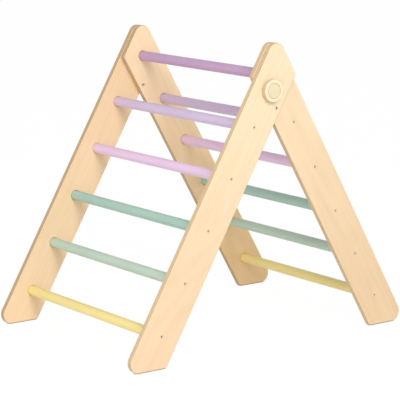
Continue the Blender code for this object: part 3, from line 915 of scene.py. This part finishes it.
def drill_holes(blank, wall, places, rail, steps):
    """Cut one kind of turned hole at each place, from its wall's profile. Returns a mesh."""
    profile = [(0, OVERRUN), *wall, (0, wall[-1][1])]
    cutters = bmesh.new()
    for place in places:
        one = bmesh.new()
        turn(one, profile, steps)
        face_out(one, place, rail.side, rail.face)
        held = as_mesh(one, "cutter")
        cutters.from_mesh(held)
        bpy.data.meshes.remove(held)
    tool = in_scene("cutter", as_mesh(cutters, "cutter"))
    made = with_modifier(blank, "BOOLEAN", operation="DIFFERENCE", solver="EXACT", object=tool)
    bpy.data.objects.remove(tool, do_unlink=True)
    return made


def rung_hole(settings):
    """Countersink, screw bore and rung seat, from the rail's outer face at 0."""
    screws = settings.screws
    rungs = settings.rungs
    head_room = 0.0004
    head_sunk = 0.0003
    head = screws.head_radius + head_room
    bore = screws.shank_radius + rungs.clearance
    seat = rungs.radius + rungs.clearance
    rim = -head_sunk - screws.head_rim
    floor = -RAIL_THICKNESS + rungs.seat_depth
    ease = 4 * rungs.clearance
    return [
        (head, OVERRUN),
        (head, rim),
        (bore, rim - (head - bore)),
        (bore, floor),
        (seat, floor),
        (seat, -RAIL_THICKNESS + ease),
        (seat + ease, -RAIL_THICKNESS),
        (seat + ease, THROUGH),
    ]


def pivot_hole(settings, head_inside):
    """Bore for the pivot sleeve with a counterbore for a head."""
    screws = settings.screws
    head_sunk = 0.0006
    head = outside_radius("pivot_sleeve_near") + settings.rungs.clearance
    bore = screws.sleeve_radius + settings.rungs.clearance
    sunk = screws.pivot_head_thickness + head_sunk
    if head_inside:
        outer, inner, step = bore, head, -RAIL_THICKNESS + sunk
    else:
        outer, inner, step = head, bore, -sunk
    return [(outer, OVERRUN), (outer, step), (inner, step), (inner, THROUGH)]


def lock_hole(settings, has_insert):
    """Blind bore for the threaded insert, or a bore for the stud right through."""
    clearance = settings.rungs.clearance
    if has_insert:
        bore = outside_radius("lock_insert_near") + clearance
        low = -extent("lock_insert_near").y - 2 * clearance
    else:
        bore = settings.locks.stud_radius + clearance
        low = THROUGH
    return [(bore, OVERRUN), (bore, low)]


class CLIMBING_TRIANGLE_OT_rails(bpy.types.Operator):
    """Make the four plywood rails, drilled for rungs, pivots and locks"""

    bl_idname = "climbing_triangle.rails"
    bl_label = "Rails"

    def execute(self, context):
        settings = context.scene.climbing_triangle
        for rail in RAILS:
            finish = plywood_finish(settings, rail)
            set_piece("birch", rail.name, self.make(settings, rail), finish)
        return {"FINISHED"}

    def make(self, settings, rail):
        inner = rail.ladder == "inner"
        mesh = rail_blank(settings.rails, rail)
        for wall, places in (
            (rung_hole(settings), [middle(rung) for rung in rail.rungs]),
            (pivot_hole(settings, inner), [PIVOT]),
            (lock_hole(settings, inner), [LOCK]),
        ):
            mesh = drill_holes(mesh, wall, places, rail, settings.rails.hole_steps)
        return mesh


class CLIMBING_TRIANGLE_OT_rungs(bpy.types.Operator):
    """Make the painted rungs of both ladders"""

    bl_idname = "climbing_triangle.rungs"
    bl_label = "Rungs"

    def execute(self, context):
        settings = context.scene.climbing_triangle
        paints = {
            paint: paint_finish(paint, getattr(settings.finishes, paint)) for paint in PAINTS
        }
        for rung in OUTER_RUNGS + INNER_RUNGS:
            paint = SLOT_OF[rung].removeprefix("paint_")
            set_piece(paint, rung, self.make(settings, rung), paints[paint])
        return {"FINISHED"}

    def make(self, settings, rung):
        rungs = settings.rungs
        end = outside(rung)
        chamfer = rungs.end_chamfer
        eased = chamfer * 0.3
        bore = settings.screws.shank_radius + rungs.clearance
        bore_end = inside(rung.replace("_rung_", "_screw_near_")) - rungs.clearance
        upper = [
            (0, bore_end),
            (bore, bore_end),
            (bore, end),
            (rungs.radius - chamfer, end),
            (rungs.radius - eased, end - eased),
            (rungs.radius, end - chamfer),
        ]
        lower = [(radius, -height) for radius, height in reversed(upper)]
        return turned_mesh(rung, 1, rungs.steps, [upper + lower], distance=0)


# Screws, pivots and locks. Heights count from a piece's outer end, its length lies below 0.
# A thread's crest stays just inside the plain shank above it.

CREST_SHARE = 0.99


class CLIMBING_TRIANGLE_OT_screws(bpy.types.Operator):
    """Make the countersunk screws that hold the rungs"""

    bl_idname = "climbing_triangle.screws"
    bl_label = "Rung screws"

    def execute(self, context):
        settings = context.scene.climbing_triangle
        zinc = zinc_finish(settings)
        for label, side in SIDES:
            for ladder in ("outer", "inner"):
                for screw in packed(f"{ladder}_screw_{label}_"):
                    set_piece("steel", screw, self.make(settings, screw, side), zinc)
        return {"FINISHED"}

    def make(self, settings, screw, side):
        screws = settings.screws
        head, shank, core = screws.head_radius, screws.shank_radius, screws.core_radius
        length = extent(screw).y
        edge = 0.00015
        plain_share = 0.28
        point = 0.006
        tip_radius = 0.0004
        tip_height = 0.0002
        neck = -screws.head_rim - (head - shank)
        thread_top = neck - length * plain_share
        thread_end = -length + point
        tip = [(core * 0.9, thread_end), (tip_radius, -length + tip_height), (0, -length)]
        winding = (
            shank * CREST_SHARE, core, screws.thread_pitch, thread_end, thread_top, screws.steps // 2
        )
        recess = (screws.socket_radius, screws.socket_depth)
        levels = (0, thread_top, thread_end)
        head_profile = [
            (head - edge, 0),
            (head, -edge),
            (head, -screws.head_rim),
            (shank, neck),
            (shank, thread_top),
        ]
        profiles = [head_profile, tip]
        return turned_mesh(screw, side, screws.steps, profiles, winding, recess, levels)


def flat_washer(settings, name, side, hole_for):
    """A washer with eased rims round something of a given radius."""
    bore = hole_for + settings.rungs.clearance
    rim = outside_radius(name)
    thick = extent(name).y
    edge = thick * 0.2
    profile = [
        (bore + edge, 0),
        (rim - edge, 0),
        (rim, -edge),
        (rim, -thick + edge),
        (rim - edge, -thick),
        (bore + edge, -thick),
        (bore, -thick + edge),
        (bore, -edge),
        (bore + edge, 0),
    ]
    return turned_mesh(name, side, settings.screws.steps * 2, [profile])


class CLIMBING_TRIANGLE_OT_pivots(bpy.types.Operator):
    """Make the pivot bolts: sleeve, closing screw and washer on each side"""

    bl_idname = "climbing_triangle.pivots"
    bl_label = "Pivots"

    edge = 0.0003
    socket_depth = 0.0018

    def execute(self, context):
        settings = context.scene.climbing_triangle
        zinc = zinc_finish(settings)
        for label, side in SIDES:
            for name, make in (
                ("pivot_sleeve_" + label, self.sleeve),
                ("pivot_screw_" + label, self.closing_screw),
                ("pivot_washer_" + label, self.washer),
            ):
                set_piece("steel", name, make(settings, name, side), zinc)
        return {"FINISHED"}

    def sleeve(self, settings, name, side):
        screws = settings.screws
        head = outside_radius(name)
        stem = screws.sleeve_radius
        bore = screws.pivot_thread_radius + settings.rungs.clearance
        bore_depth = 0.0206
        drill_depth = 0.0215
        thick = screws.pivot_head_thickness
        end = -extent(name).y
        edge = self.edge
        profile = [
            (head - edge, 0),
            (head, -edge),
            (head, -thick),
            (stem, -thick),
            (stem, end + edge),
            (stem - edge, end),
            (bore + edge, end),
            (bore, end + edge),
            (bore, end + bore_depth),
            (0, end + drill_depth),
        ]
        recess = (screws.pivot_socket_radius, self.socket_depth)
        return turned_mesh(name, side, screws.steps, [profile], recess=recess, levels=(0,))

    def closing_screw(self, settings, name, side):
        """Its head lies inside, so it faces the other way."""
        screws = settings.screws
        head = outside_radius(name)
        crest = screws.pivot_thread_radius
        pitch = 0.0010
        plain = 0.001
        point = 0.0006
        thick = screws.pivot_head_thickness
        neck = -thick - plain
        end = -extent(name).y
        tip = end + point
        edge = self.edge
        profile = [
            (head - edge, 0),
            (head, -edge),
            (head, -thick),
            (crest, -thick),
            (crest, neck),
        ]
        profiles = [profile, [(crest * 0.76, tip), (crest * 0.6, end), (0, end)]]
        winding = (crest * CREST_SHARE, crest * 0.80, pitch, tip, neck, screws.steps)
        recess = (screws.pivot_socket_radius, self.socket_depth)
        levels = (0, neck, tip)
        distance = -inside(name)
        return turned_mesh(name, -side, screws.steps, profiles, winding, recess, levels, distance)

    def washer(self, settings, name, side):
        return flat_washer(settings, name, side, settings.screws.sleeve_radius)


class CLIMBING_TRIANGLE_OT_locks(bpy.types.Operator):
    """Make the turned lock knobs with their studs, washers and inserts"""

    bl_idname = "climbing_triangle.locks"
    bl_label = "Locks"

    def execute(self, context):
        settings = context.scene.climbing_triangle
        zinc = zinc_finish(settings)
        brass = metal_finish("brass_insert", settings.finishes.brass)
        for label, side in SIDES:
            turned_birch = knob_finish(settings, label, side)
            for prefix, name, make, finish in (
                ("turned", "lock_knob_" + label, self.knob, turned_birch),
                ("threaded", "lock_stud_" + label, self.stud, zinc),
                ("steel", "lock_washer_" + label, self.washer, zinc),
                ("brass", "lock_insert_" + label, self.insert, brass),
            ):
                set_piece(prefix, name, make(settings, name, side), finish)
        return {"FINISHED"}

    def knob(self, settings, name, side):
        locks = settings.locks
        rim = outside_radius(name)
        thick = extent(name).y
        bore = locks.stud_radius + settings.rungs.clearance
        bore_depth = outside("lock_stud_near") - inside(name)
        bore_top = -thick + bore_depth + settings.rungs.clearance
        drill_point = 0.0008
        edge = locks.edge_round
        groove = locks.ring_width / 2
        lip = 0.0001
        ease_drop = 0.00012
        ease_width = 0.0004
        quarter = [math.pi / 2 * k / 6 for k in range(7)]
        front = [
            (rim - edge + edge * math.sin(a), -edge + edge * math.cos(a)) for a in quarter
        ]
        back = [(radius, -thick - height) for radius, height in reversed(front)]
        field = locks.ring_radius - groove
        dish = [
            (field * share, -locks.dish_depth + locks.dish_depth * 0.8 * share**2)
            for share in (0, 0.2, 0.4, 0.6, 0.8, 1)
        ]
        centre = locks.ring_radius
        half_turn = [math.pi * k / 8 for k in range(1, 8)]
        half_round = [
            (centre - groove * math.cos(a), -lip - (locks.ring_depth - lip) * math.sin(a))
            for a in half_turn
        ]
        shoulder = [(centre + groove, -ease_drop), (centre + groove + ease_width, 0)]
        stud_hole = [(bore, -thick), (bore, bore_top), (0, bore_top + drill_point)]
        profile = dish + half_round + shoulder + front + back + stud_hole
        return turned_mesh(name, side, locks.knob_steps, [profile])

    def stud(self, settings, name, side):
        locks = settings.locks
        crest = locks.stud_radius
        metric_depth = 0.6134
        root = crest - metric_depth * locks.thread_pitch
        inner = root * 0.96
        flat = root * 0.8
        tip = 0.0010
        end = -extent(name).y
        top = [(0, 0), (flat, 0), (inner, -tip)]
        bottom = [(inner, end + tip), (flat, end), (0, end)]
        steps = locks.thread_steps
        winding = (crest, root, locks.thread_pitch, end + tip, -tip, steps)
        levels = (-tip, end + tip)
        return turned_mesh(name, side, steps, [top, bottom], winding, levels=levels)

    def washer(self, settings, name, side):
        return flat_washer(settings, name, side, settings.locks.stud_radius)

    def insert(self, settings, name, side):
        locks = settings.locks
        crest = outside_radius(name)
        bore = locks.stud_radius + settings.rungs.clearance
        pitch = 0.0026
        collar = -0.0008
        ease = 0.0002
        edge = 0.0003
        end = -extent(name).y
        mouth = [
            (crest * 0.82, collar),
            (crest * 0.82, -ease),
            (crest * 0.80, 0),
            (bore + edge, 0),
            (bore, -edge),
            (bore, end),
        ]
        steps = locks.thread_steps
        winding = (crest, crest * 0.84, pitch, end, collar, steps)
        levels = (collar, end)
        return turned_mesh(name, side, steps, [mouth], winding, levels=levels)


# Studio

FLOOR_TONE = (0.92, 0.92, 0.91)
FLOOR_ROUGHNESS = 0.9
FLOOR_SIZE = 40
CONTACT_WHITE = 0.4
CONTACT_RANGE = (0.25, 0.75)
SENSOR_WIDTH = 36
CLIP_RANGE = (0.1, 200)
WHITE = (1, 1, 1)


def looked_at(tree):
    """1 for what the camera, a reflection or a clear surface sees, 0 for the light itself."""
    rays = add_node(tree, "ShaderNodeLightPath").outputs
    seen = calculate(tree, "MAXIMUM", rays["Is Camera Ray"], rays["Is Glossy Ray"])
    return calculate(tree, "MAXIMUM", seen, rays["Is Transmission Ray"])


def floor_finish(studio):
    """A pale floor that shows as white, with the object's shadow and a contact line left in it."""
    material, tree, shader = new_finish("studio_floor")
    feed(tree, shader.inputs["Base Color"], FLOOR_TONE)
    feed(tree, shader.inputs["Roughness"], FLOOR_ROUGHNESS)
    white = add_node(tree, "ShaderNodeEmission", {"Strength": studio.backdrop_strength})
    nearby = add_node(tree, "ShaderNodeAmbientOcclusion", {"Distance": studio.contact_reach})
    clear = rise(tree, nearby.outputs["AO"], *CONTACT_RANGE)
    clear = weigh(tree, CONTACT_WHITE, (clear, 1 - CONTACT_WHITE))
    share = times(tree, looked_at(tree), studio.floor_white, clear)
    inputs = {0: share, 1: shader.outputs[0], 2: white.outputs[0]}
    mixed = add_node(tree, "ShaderNodeMixShader", inputs)
    feed(tree, tree.nodes["Material Output"].inputs["Surface"], mixed.outputs[0])
    return material


class CLIMBING_TRIANGLE_OT_studio(bpy.types.Operator):
    """Set up the floor, the light and the camera"""

    bl_idname = "climbing_triangle.studio"
    bl_label = "Studio"

    def execute(self, context):
        studio = context.scene.climbing_triangle.studio
        self.floor(studio)
        self.room(context, studio)
        for label in ("key", "side"):
            values = [getattr(studio, f"{label}_{what}") for what in ("power", "size", "place")]
            self.soft_light(label, *values)
        self.camera(context, studio)
        context.scene.view_settings.view_transform = "Standard"
        return {"FINISHED"}

    def floor(self, studio):
        bm = bmesh.new()
        bmesh.ops.create_grid(bm, x_segments=1, y_segments=1, size=FLOOR_SIZE)
        floor = in_scene("studio_floor", as_mesh(bm, "studio_floor"))
        floor.data.materials.append(floor_finish(studio))

    def room(self, context, studio):
        world = bpy.data.worlds.new("studio_room")
        context.scene.world = world
        world.use_nodes = True
        tree = world.node_tree
        rays = add_node(tree, "ShaderNodeTexCoord").outputs
        upward = rise(tree, split(tree, rays["Generated"])["Z"], 0, 1)
        fill = weigh(tree, studio.fill, (upward, studio.fill_above - studio.fill))
        background = tree.nodes["Background"].inputs
        feed(tree, background["Color"], WHITE)
        feed(tree, background["Strength"], calculate(tree, "MAXIMUM", fill, looked_at(tree)))

    def soft_light(self, label, power, size, place):
        lamp = bpy.data.lights.new(label + "_light", "AREA")
        lamp.shape = "SQUARE"
        lamp.size = size
        lamp.energy = power
        light = in_scene(label + "_light", lamp)
        light.location = place
        aim = Vector((0, 0, CROSSING.z / 2)) - Vector(place)
        light.rotation_euler = aim.to_track_quat("-Z", "Y").to_euler()
        light.visible_camera = False

    def camera(self, context, studio):
        lens = bpy.data.cameras.new("camera")
        lens.lens = studio.lens
        lens.sensor_width = SENSOR_WIDTH
        lens.clip_start, lens.clip_end = CLIP_RANGE
        camera = in_scene("camera", lens)
        camera.location = studio.camera_place
        camera.rotation_euler = (math.pi / 2 - studio.pitch, 0, -studio.yaw)
        context.scene.camera = camera


class CLIMBING_TRIANGLE_PT_sidebar(bpy.types.Panel):
    """Pieces and settings of the climbing triangle"""

    bl_label = "Climbing triangle"
    bl_idname = "CLIMBING_TRIANGLE_PT_sidebar"
    bl_space_type = "VIEW_3D"
    bl_region_type = "UI"
    bl_category = "Climbing triangle"

    def draw(self, context):
        settings = context.scene.climbing_triangle
        layout = self.layout
        for operator in PIECE_OPERATORS:
            layout.operator(operator.bl_idname)
        for group in ("rails", "rungs", "screws", "locks", "finishes", "studio"):
            box = layout.box()
            box.label(text=group.capitalize())
            values = getattr(settings, group)
            for name in values.__annotations__:
                box.prop(values, name)


PIECE_OPERATORS = (
    CLIMBING_TRIANGLE_OT_rails,
    CLIMBING_TRIANGLE_OT_rungs,
    CLIMBING_TRIANGLE_OT_screws,
    CLIMBING_TRIANGLE_OT_pivots,
    CLIMBING_TRIANGLE_OT_locks,
    CLIMBING_TRIANGLE_OT_studio,
)
CLASSES = (
    TriangleRails,
    TriangleRungs,
    TriangleScrews,
    TriangleLocks,
    TriangleFinishes,
    TriangleStudio,
    ClimbingTriangle,
    *PIECE_OPERATORS,
    CLIMBING_TRIANGLE_PT_sidebar,
)


def register():
    for cls in CLASSES:
        bpy.utils.register_class(cls)
    bpy.types.Scene.climbing_triangle = bpy.props.PointerProperty(type=ClimbingTriangle)


def unregister():
    del bpy.types.Scene.climbing_triangle
    for cls in reversed(CLASSES):
        bpy.utils.unregister_class(cls)


def main():
    register()
    bpy.ops.climbing_triangle.rails()
    bpy.ops.climbing_triangle.rungs()
    bpy.ops.climbing_triangle.screws()
    bpy.ops.climbing_triangle.pivots()
    bpy.ops.climbing_triangle.locks()
    bpy.ops.climbing_triangle.studio()


if __name__ == "__main__":
    main()
